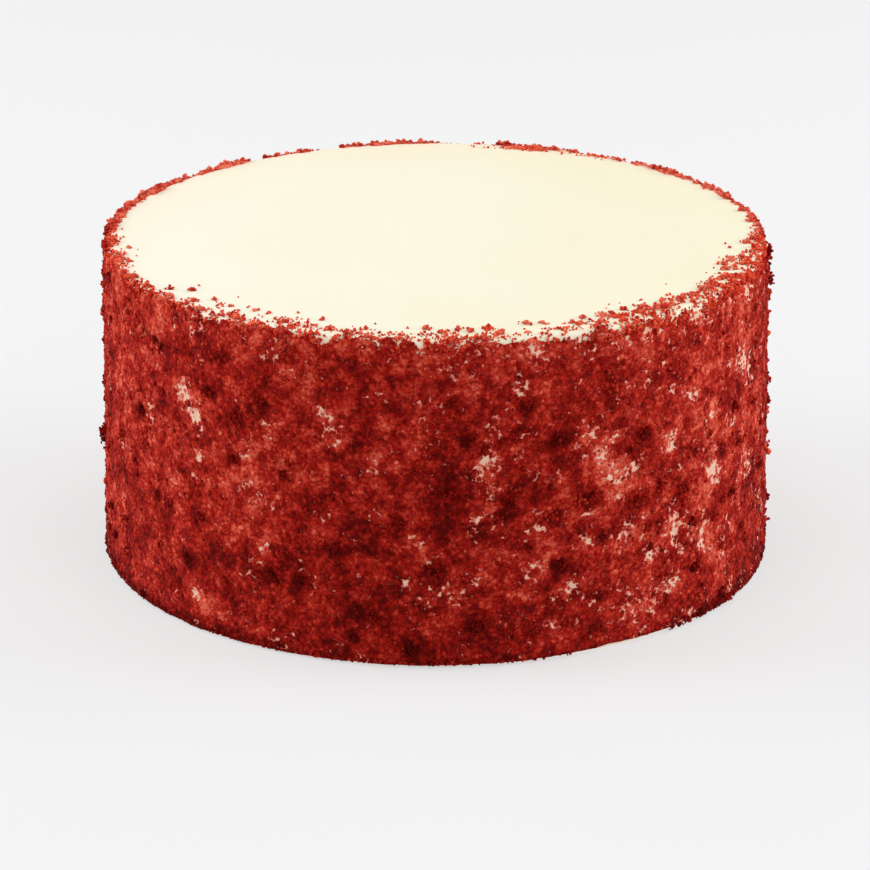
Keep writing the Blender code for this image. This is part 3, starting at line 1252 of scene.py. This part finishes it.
@dataclass
class LooseCrumbs:
    """Everything that lies on the coat and the icing as a separate crumb. Sizes are in metres."""

    surface: CoatSurface
    rng: np.random.Generator
    set_clumps: tuple[Spot, ...]
    rim_share: float = 0.05
    rim_depth: float = 0.0090
    rim_reach: float = 0.0180
    painted_light_rim_tint: float = 0.84
    most_layers: float = 3.0
    clump_crumbs: Pair = (0.00032, 0.00070)
    foot_pile: float = 0.0018
    floor_gap: float = 0.0003
    bare_from: Pair = (0.44, 0.72)
    clump_from: Pair = (0.55, 0.4)
    edge_middle: float = 0.0020
    edge_width: float = 0.0030
    foot_groups: Layer = Layer(1.0, 0.0065, 83.0)

    def _sizes(self, span: Pair, count: int, power: float) -> Array:
        """Sizes in this span, most of them near its lower end."""
        return span[0] + (span[1] - span[0]) * self.rng.random(count) ** power

    def _scatter(self, centres: Array, outward: Array, radius: Array, tints: Array) -> Scatter:
        """Crumbs at these centres, raised where they would touch the floor."""
        centres[:, 2] = np.maximum(centres[:, 2], radius * 1.2 + self.floor_gap)
        return Scatter(centres, outward, radius, np.clip(tints, 0, 1))

    def on_side(self, spread: Spread) -> Scatter:
        """Crumbs over the side and the rim.

        Args:
            spread: how they lie.

        Returns:
            The crumbs' places and tints.
        """
        rng = self.rng
        tries = spread.count * 2
        angle = rng.uniform(0, 2 * math.pi, tries)
        row = rng.uniform(0.004, 1 + self.rim_share, tries)
        row = np.where(row > 1, 1 + (row - 1) / self.rim_share, row)
        points, outward, thin, cover = self.surface.outer(angle, row)
        tint = self.surface.mottling.tint(points)
        chance = (1 - 0.90 * smooth(thin, *self.bare_from)) * cover
        chance = chance * np.clip(1 - spread.lean * (tint - 0.5) * 2, 0.05, 2)
        keep = np.flatnonzero(rng.random(tries) < chance)
        keep = np.sort(rng.permutation(keep)[: spread.count])
        radius = self._sizes(spread.radii, len(keep), 2.2)
        out = radius * (spread.stand_out + 0.6 * (row[keep] > 1))
        tints = tint[keep] + spread.tint_shift + rng.normal(0, spread.unevenness, len(keep))
        return self._scatter(points[keep] + outward[keep] * out[:, None], outward[keep], radius, tints)

    def in_clumps(self, clumps: int, each: int, spans: Pair) -> Scatter:
        """Crumbs stuck together in rough clumps on the side and the rim.

        Args:
            clumps: how many clumps lie anywhere, besides those that are set.
            each: about how many crumbs one has.
            spans: the smallest and the largest clump's radius.

        Returns:
            The crumbs' places and tints.
        """
        rng, form = self.rng, self.surface.form
        angle = rng.uniform(0, 2 * math.pi, clumps)
        along = rng.uniform(0.001 - form.rim_base, 0, clumps)
        span = self._sizes(spans, clumps, 2)
        angle = np.append(angle, [math.radians(spot.degrees - 90) for spot in self.set_clumps])
        along = np.append(along, [spot.height * MM - form.rim_base for spot in self.set_clumps])
        span = np.append(span, [spot.radius * MM for spot in self.set_clumps])
        skin, outward = form.skin(angle, along)
        rise, thin, cover = self.surface.rise(skin, angle, along)
        most_thin, least_cover = self.clump_from
        keep = ((thin < most_thin) & (cover > least_cover)) | (np.arange(len(angle)) >= clumps)
        middle = (skin + outward * np.maximum(rise, 0)[:, None])[keep]
        outward, span, along = outward[keep], span[keep], along[keep]
        numbers = np.maximum(5, np.rint(each * (0.35 + 1.4 * (span**2 / spans[1] ** 2)))).astype(int)
        owner = np.repeat(np.arange(len(middle)), numbers)
        offset = rng.normal(0, 0.48, (len(owner), 3)) * span[owner][:, None]
        out = np.einsum("ni,ni->n", offset, outward[owner])
        offset += (np.abs(out) * 0.75 - out)[:, None] * outward[owner]
        radius = rng.uniform(*self.clump_crumbs, len(owner))
        # Clumps at the rim take a bright tint, painted light on their tops; clumps on the side take the
        # coat's tint.
        shade = np.where(along > -0.0005, self.painted_light_rim_tint, self.surface.mottling.tint(middle) - 0.02)
        shade = shade + rng.normal(0, 0.10, len(middle))
        height = np.abs(out) / span[owner]
        # Crumbs further out of a clump are brighter and those deep in it darker: painted shade inside the
        # clump.
        tints = shade[owner] + 0.10 * (height - 0.5) + rng.normal(0, 0.10, len(owner))
        return self._scatter(middle[owner] + offset, outward[owner], radius, tints)

    def on_rim(self, tries: int, radii: Pair, pile: float) -> Scatter:
        """Crumbs on the bare icing round the rim and in over the top, fewer further in.

        Args:
            tries: how many places are tried.
            radii: the smallest and the largest radius.
            pile: how high they pile up at the edge, in radii.

        Returns:
            The crumbs' places and tints.
        """
        rng, surface = self.rng, self.surface
        angle = rng.uniform(0, 2 * math.pi, tries)
        along = -self.rim_depth + (self.rim_depth + self.rim_reach) * rng.random(tries) ** 1.35
        points, outward = surface.form.skin(angle, along)
        open_icing = 1 - surface.cover(points, angle, along)
        layers = -np.log(1 - surface.density(points, angle, along))
        keep = rng.random(tries) < open_icing * layers / self.most_layers
        angle, along, points, outward = angle[keep], along[keep], points[keep], outward[keep]
        radius = self._sizes(radii, len(angle), 2.2)
        front = surface.form.front_share(angle)
        near_edge = np.exp(-np.abs(along - self.edge_middle) / self.edge_width) * (0.7 + 0.3 * front)
        lift = 0.30 + pile * rng.random(len(radius)) ** 1.5 * near_edge
        # Crumbs in over the top are brighter than those on the side, more so at the back: painted light
        # where they face up.
        tints = 0.55 + (0.23 + 0.10 * (1 - front)) * smooth(along, -0.003, 0.002)
        tints = tints + rng.normal(0, 0.17, len(radius))
        return self._scatter(points + outward * (radius * lift)[:, None], outward, radius, tints)

    def on_foot(self, tries: int, radii: Pair) -> Scatter:
        """Crumbs along the foot, tinted dark as painted shade, all but where the icing is bare there.

        Args:
            tries: how many places are tried.
            radii: the smallest and the largest radius.

        Returns:
            The crumbs' places and tints.
        """
        rng, form = self.rng, self.surface.form
        angle = rng.uniform(0, 2 * math.pi, tries)
        bare = (form.foot_height(angle) - form.foot_lift) / form.bare_foot_lift
        bare = bare * (1 - smooth(azimuth(angle), 38, 45))
        ring = form.place(angle, np.full(tries, form.foot_radius), np.zeros(tries))
        grouped = smooth(self.foot_groups.at(ring), -0.2, 0.2)
        angle = angle[rng.random(tries) > 2.2 * bare * (1 - 0.45 * grouped)]
        radius = self._sizes(radii, len(angle), 2)
        height = radius + 0.0002 + self.foot_pile * rng.random(len(angle)) ** 2
        points, outward = form.skin(angle, height - form.rim_base)
        points[:, 2] = height
        out = self.surface.gap + self.surface.foot_thickness * rng.uniform(0.5, 1.1, len(angle))
        aside = smooth(np.abs(azimuth(angle)), 20, 45)
        # Painted shade: the foot's crumbs are dark, darker towards the left and right.
        tints = 0.30 - 0.10 * aside + rng.normal(0, 0.12, len(angle))
        return Scatter(points + outward * out[:, None], outward, radius, np.clip(tints, 0, 1))


# The studio


def put_looking(name: str, data: bpy.types.ID, place: Vector, aim: Vector) -> Piece:
    """Puts a light or a camera in the scene, turned to what it looks at.

    Args:
        name: its object's name.
        data: the light or the camera.
        place: where it stands.
        aim: what it looks at.

    Returns:
        Its object.
    """
    obj = bpy.data.objects.new(name, data)
    obj.location = place
    obj.rotation_euler = (place - aim).to_track_quat("Z", "Y").to_euler()
    bpy.context.scene.collection.objects.link(obj)
    return obj


@dataclass(frozen=True)
class Softbox:
    """A soft light: where it stands, how high it looks on the axis, its sides and its power in watts."""

    name: str
    place: Triple
    aim_height: float
    sides: Pair
    power: float

    def add(self) -> None:
        """Puts the light in the scene."""
        data = bpy.data.lights.new(self.name, "AREA")
        data.shape = "RECTANGLE"
        data.size, data.size_y = self.sides
        data.energy = self.power
        put_looking(self.name, data, Vector(self.place), Vector((0, 0, self.aim_height)))


@dataclass(frozen=True)
class Viewpoint:
    """The camera: what it looks at, how far off, how high above level, and its focal length."""

    aim: Triple = (-0.0003, 0.0, 0.0324)
    distance: float = 1.2
    elevation: float = 20.8
    focal_pixels: float = 3942.0

    def add(self) -> None:
        """Puts the camera in the scene and makes it the scene's own."""
        data = bpy.data.cameras.new("camera")
        data.sensor_width = SENSOR
        data.lens = self.focal_pixels * SENSOR / IMAGE_SIDE
        data.clip_start = 0.01
        tilt = math.radians(self.elevation)
        aim, away = Vector(self.aim), Vector((0, -math.cos(tilt), math.sin(tilt)))
        bpy.context.scene.camera = put_looking("camera", data, aim + away * self.distance, aim)


@dataclass
class Studio:
    """The pale floor, the soft lights and the camera."""

    floor_reach: float = 6.0
    floor_gap: float = 0.0002
    world_strength: float = 0.40
    lights: tuple[Softbox, ...] = (
        Softbox("overhead", (0.0, 0.0, 1.5), 0.05, (1.0, 1.0), 3.0),
        Softbox("left", (-1.3, 0.1, 0.7), 0.04, (0.8, 1.0), 12.0),
        Softbox("right", (1.3, 0.1, 0.7), 0.04, (0.8, 1.0), 11.0),
        Softbox("left_back", (-1.1, 0.9, 0.7), 0.04, (0.8, 0.8), 3.0),
        Softbox("right_back", (1.1, 0.9, 0.7), 0.04, (0.8, 0.8), 3.0),
        Softbox("front_left", (-0.9, -1.1, 0.8), 0.05, (0.8, 0.8), 2.5),
        Softbox("front_right", (0.9, -1.1, 0.8), 0.05, (0.8, 0.8), 4.0),
    )
    view: Viewpoint = field(default_factory=Viewpoint)

    def build(self) -> None:
        """Sets up the scene round the cake."""
        plane = bpy.ops.mesh.primitive_plane_add
        floor = start_from(plane, size=self.floor_reach * 2, location=(0, 0, -self.floor_gap))
        floor.name = "floor"
        floor.data.materials.append(FloorFinish().make())
        for light in self.lights:
            light.add()
        self.view.add()
        world = bpy.data.worlds.new("studio")
        world.use_nodes = True
        background = world.node_tree.nodes["Background"]
        background.inputs["Color"].default_value = (1.0, 1.0, 1.0, 1.0)
        background.inputs["Strength"].default_value = self.world_strength
        bpy.context.scene.world = world
        bpy.context.scene.view_settings.view_transform = "Standard"


# The whole cake


def spots(*values: Triple) -> tuple[Spot, ...]:
    """Spots from their degrees, heights and radii."""
    return tuple(Spot(*value) for value in values)


TOP_FROM = 95.9
BARE_SPOTS = spots(
    (64, 75, 1.9), (26, 67, 2.3), (27, 62, 2.2), (28, 57, 1.7), (30.5, 53, 2.1), (26, 43, 1.3),
    (38, 26, 1.2), (33, 35, 1.8), (43.5, 31, 2.1), (47.5, 30, 1.4), (50, 27, 1.2), (53, 44, 1.6),
    (36.5, 32, 1.0), (25, 34, 1.5), (22, 23, 1.3), (42, 58, 1.8), (47, 71, 1.3), (53, 62, 1.3),
    (38, 25, 1.3), (-44, 10, 1.9), (-41, 7, 1.5), (-47, 72, 2.1), (-44, 65, 1.9), (-56, 62, 1.5),
    (-55, 53, 1.2), (-49, 43, 1.3), (-43, 46, 1.4), (-43, 53, 1.2), (-29, 62, 1.9), (-32, 50, 1.5),
    (-29, 68, 1.2), (-18, 74, 1.2), (-17, 66, 1.3), (-19, 56, 1.2), (-30, 46, 1.8), (-29, 31, 1.5),
    (-31, 26, 1.2), (-10, 62, 1.5), (-2, 74, 1.5), (-3, 65, 1.2), (7, 60, 1.2), (10, 62, 0.9),
    (14, 63, 1.1), (10, 43, 1.3), (-3, 38, 1.5), (-1, 32, 1.2), (14, 82, 1.3), (17, 30, 1.5),
    (20, 19, 1.3),
)
CLUMPS = spots(
    (-58, 49, 2.9), (-54, 36, 2.0), (-43, 35, 2.9), (-41, 74, 2.9), (-30, 74, 3.8), (-35, 68, 2.5),
    (-46, 21, 2.6), (-72, 12, 1.8), (-26, 30, 2.5), (-23, 23, 2.5), (-36, 56, 2.5), (42, 80, 2.4),
    (36, 62, 3.0), (56, 50, 2.5), (60, 60, 2.2), (45, 42, 2.5), (35, 43, 2.5), (26, 47, 2.9),
    (20, 66, 3.8), (21, 28, 3.0), (28, 34, 2.0), (64, 21, 1.9), (48, 17, 2.9), (30, 79, 3.2),
    (-17, 33, 2.2), (5, 67, 2.5), (15, 77, 2.9), (2, 52, 3.2), (12, 48, 3.2), (19, 43, 3.1),
    (0, 28, 3.2), (-6, 43, 2.9), (-13, 16, 3.2), (7, 12, 3.8), (-4, 5, 3.8),
)
RIM = tuple(
    RimPart(*values)
    for values in (
        (-179, 1.5, 0.60, 0.8), (-174, 1.7, 0.60, 0.8), (-172, 2.2, 0.75, 0.9), (-168, 2.2, 0.80, 1.0),
        (-167, 0.8, 0.40, 0.8), (-166, 1.9, 0.40, 0.8), (-162, 1.9, 0.60, 0.8),
        (-160.5, -1.2, 0.10, 0.6), (-157, 0.5, 0.35, 0.6), (-155.5, 1.8, 0.60, 0.8),
        (-150, 1.5, 0.45, 0.7), (-146, 1.4, 0.40, 0.7), (-144.5, -1.2, 0.10, 0.6),
        (-142.5, 1.8, 0.80, 0.9), (-136.5, 2.2, 0.90, 0.9, 4, 0, 0.4), (-135, 1.7, 0.70, 0.8),
        (-130, 1.8, 0.80, 0.9), (-128.3, -0.8, 0.10, 0.6), (-126.5, 1.6, 0.60, 1.0, 4, 0, 0.5),
        (-116, 1.6, 0.70, 1.2, 4, 0, 0.9), (-113, 0.6, 0.40, 1.5, 4, 0, 0.9),
        (-108, 1.2, 0.55, 1.5, 4, 0, 0.8), (-106, 1.6, 0.90, 1.2, 4, 0, 0.7),
        (-97, 1.6, 0.95, 1.5, 4, 0, 0.4), (-90, 0.6, 0.88, 2.2), (-78, 0.3, 0.95, 3.2),
        (-66, 0.5, 0.92, 1.9), (-54, 0.5, 0.90, 2.2), (-42, -0.4, 0.46, 1.8),
        (-30, 0.3, 0.80, 1.6, 7.5, 0.10), (-18, -0.7, 0.34, 1.5, 6.2, 0.38), (-6, -0.1, 0.58, 2.3),
        (6, 0.2, 0.52, 3.8, 8.5, 0.26), (18, -0.3, 0.22, 1.0), (30, 0.9, 0.85, 2.3, 7.6, 0.38),
        (42, -1.4, 0.36, 2.0, 6.0, 0.50), (54, -1.5, 0.46, 3.2, 5.2, 0.46),
        (66, 0.8, 0.95, 5.4, 5.6, 0.34), (78, -4.5, 0.34, 2.6, 3.4, 0.30), (90, 1.8, 0.96, 2.2),
        (102, 1.3, 0.88, 0.9), (114, 1.9, 0.92, 1.4), (126, 1.7, 0.90, 1.1), (129, 2.5, 0.95, 1.4),
        (139, 2.5, 0.90, 1.2), (142, -0.4, 0.40, 1.2), (145, 2.2, 0.80, 1.2),
        (149, 0.2, 0.30, 1.2, 2.2, 0.30), (152, 1.8, 0.55, 1.4), (160, 2.4, 0.85, 1.8, 3.0, 0.40),
        (167, 1.9, 0.60, 1.6, 3.4, 0.40), (170, -1.2, 0.10, 0.8, 4.0, 0.10), (177, 1.3, 0.30, 0.8),
    )
)
TOP_CLUMPS = tuple(
    Spot(degrees, TOP_FROM + inwards, radius)
    for degrees, inwards, radius in (
        (-86, 2.5, 1.5), (-82, 6.3, 0.7), (-78, 3.0, 1.7), (-75, 2.0, 1.5), (-74, 4.8, 1.1),
        (-65, 1.8, 1.3), (-60, 1.5, 1.6), (-56, 5.5, 0.8), (-53, 9.8, 0.9), (-52, 1.5, 1.4),
        (-48, 5.0, 1.2), (-46, 9.8, 0.8), (-44, 1.5, 1.4), (-41, 8.8, 0.8), (-39, 1.2, 1.2),
        (-36, 10.5, 0.8), (-33, 10.8, 0.6), (-28, 6.5, 0.9), (-22, 12.5, 0.6), (-19, 6.5, 0.9),
        (-15, 2.0, 2.0), (-11, 1.5, 1.6), (-6, 1.5, 1.0), (-2, 11.0, 1.1), (1, 7.5, 0.9), (3, 1.0, 1.2),
        (6, 8.0, 1.0), (8, 1.5, 1.8), (11, 4.5, 1.4), (17, 11.0, 1.2), (20, 10.5, 0.7), (25, 7.5, 0.9),
        (30, 5.0, 1.5), (34, 9.5, 1.0), (39, 7.0, 1.7), (43, 5.0, 1.2), (49, 6.0, 1.4), (52, 4.5, 1.1),
        (56, 6.2, 1.3), (60, 6.0, 1.2), (63, 5.0, 1.1), (68, 7.0, 1.3), (71, 8.5, 1.3), (74, 7.6, 1.6),
        (76, 5.5, 1.2), (85, 5.6, 1.1), (87, 3.0, 1.4), (98, 1.6, 1.3), (104, 1.4, 1.3), (112, 1.2, 1.2),
        (123, 1.0, 1.1), (130, 1.0, 1.0), (134, 1.0, 1.2), (143, 1.0, 1.1), (157, 1.0, 0.9),
        (160, 1.0, 1.1), (167, 1.0, 1.0), (172, 0.6, 0.6), (-174, 0.6, 0.7), (-168, 0.6, 0.7),
        (4, 9.8, 1.1), (9, 9.6, 0.9), (28, 10.4, 1.1), (32, 9.2, 1.3), (37, 10.0, 1.1), (41, 8.8, 1.2),
        (46, 8.6, 0.9), (-165, 0.6, 0.8), (-141, 0.6, 0.8), (-137, 0.5, 1.1), (-133, 0.5, 0.9),
        (-116, 1.0, 0.8), (-112, 0.8, 1.0),
    )
)
SPECKLED_RIMS = spots(
    (34, 92, 7), (42, 90, 8), (52, 89, 8), (62, 91, 7), (70, 92, 6), (24, 93, 4), (78, 91, 6)
)
PROUD_CLUMPS = spots(
    (86, 93, 2.5), (89, 83, 2.7), (90, 77, 1.8), (87, 46, 1.6), (50, 1.5, 1.5), (54, 2, 1.6),
    (58, 1.5, 1.5), (88, 28, 1.6), (86, 8, 2.2), (87, 14, 1.8), (-104, 95, 1.5), (-109, 95.5, 1.5),
    (-115, 95.5, 1.5), (-99, 95, 1.3), (-87, 74, 1.5), (-88, 52, 1.5), (-87, 34, 1.4), (-86, 20, 1.5),
)
# Broad spots where the crumb is darker, then where it is brighter: partly the crumb's own tone, partly
# painted shade, mostly low at the front, and painted light, mostly towards the left and right.
DARK_AND_PAINTED_SHADE_AREAS = spots(
    (-12, 74, 9), (2, 56, 6), (-11, 42, 7), (2, 42, 10), (-2, 24, 12), (-12, 14, 12), (14, 14, 10),
    (6, 21, 7), (22, 62, 7), (12, 76, 9), (-28, 20, 10), (16, 54, 6), (-19, 27, 6), (-24, 41, 5),
    (3, 91, 5), (26, 16, 6), (-44, 20, 6), (-39, 34, 4), (-6, 36, 6), (-10, 51, 5), (-18, 42, 4),
)
BRIGHT_AND_PAINTED_LIGHT_AREAS = spots(
    (-62, 70, 12), (-55, 62, 10), (-72, 88, 10), (-3, 89, 5), (42, 40, 11), (60, 76, 11), (34, 44, 6),
    (60, 50, 10), (-33, 52, 8), (-24, 62, 7), (50, 20, 8), (-53, 46, 10), (-47, 34, 5), (-57, 9, 6),
    (-43, 80, 8), (-33, 92, 6), (52, 68, 9), (7, 67, 5), (40, 89, 8), (20, 90, 7), (8, 59, 5),
    (34, 22, 5), (52, 36, 8), (36, 5, 7), (44, 56, 6), (19, 43, 6),
)


@dataclass
class RedVelvetCake:
    """The dressed cake."""

    form: CakeForm = field(default_factory=CakeForm)
    seed: int = 7
    fine: Spread = Spread(21000, (0.00034, 0.00074), -0.3, 0.00, 0.11, -0.35)
    bright: Spread = Spread(9600, (0.00044, 0.00104), -0.7, 0.02, 0.12)
    deep: Spread = Spread(6500, (0.00044, 0.00108), 0.7, -0.03, 0.11)
    dark_clump_share: float = 0.62

    def build(self) -> None:
        """Makes every piece of the cake."""
        mottling = Mottling(self.form, BARE_SPOTS, CLUMPS, DARK_AND_PAINTED_SHADE_AREAS, BRIGHT_AND_PAINTED_LIGHT_AREAS)
        surface = CoatSurface(self.form, mottling, RIM, SPECKLED_RIMS)
        icing = IcedTop(self.form).build()
        finish_piece(icing, "icing", IcingFinish().make(), "frosted_cake")
        shell = CoatShell(surface).build()
        finish_piece(shell, "pressed_crumb", CoatFinish().make(), "crumb_coat")
        self._scatter(surface)

    def _scatter(self, surface: CoatSurface) -> None:
        """Scatters the loose crumbs, kind by kind.

        Args:
            surface: what they lie on.
        """
        rng = np.random.default_rng(self.seed)
        dark_clumps = tuple(replace(spot, radius=spot.radius * self.dark_clump_share) for spot in CLUMPS)
        loose = LooseCrumbs(surface, rng, PROUD_CLUMPS + TOP_CLUMPS + dark_clumps)
        chip = CrumbShape(Grain.CHIP, roughness=0.36, seed=2)
        nugget = CrumbShape(Grain.NUGGET, roughness=0.44, seed=3)
        kinds = (
            ("fine_crumbs", chip, 0.9, loose.on_side(self.fine)),
            ("bright_crumbs", nugget, 0.85, loose.on_side(self.bright)),
            ("deep_crumbs", nugget, 0.85, loose.on_side(self.deep)),
            ("clumped_crumbs", nugget, 0.95, loose.in_clumps(400, 13, (0.0007, 0.0019))),
            ("foot_crumbs", nugget, 0.95, loose.on_foot(2600, (0.00030, 0.00075))),
            ("fine_rim_crumbs", nugget, 1.0, loose.on_rim(135000, (0.00026, 0.00054), 1.8)),
            ("rim_crumbs", nugget, 0.95, loose.on_rim(15000, (0.00036, 0.00090), 1.2)),
        )
        for name, shape, flatness, scatter in kinds:
            reds = RIM_REDS if "rim" in name else SIDE_REDS
            crumbs = scatter.join(shape, flatness, rng)
            finish_piece(crumbs, name, CrumbFinish(name, reds).make())


def main() -> None:
    """Builds the cake and the studio round it."""
    logging.basicConfig(level=logging.INFO, format="%(name)s: %(message)s")
    RedVelvetCake().build()
    Studio().build()


if __name__ == "__main__":
    main()
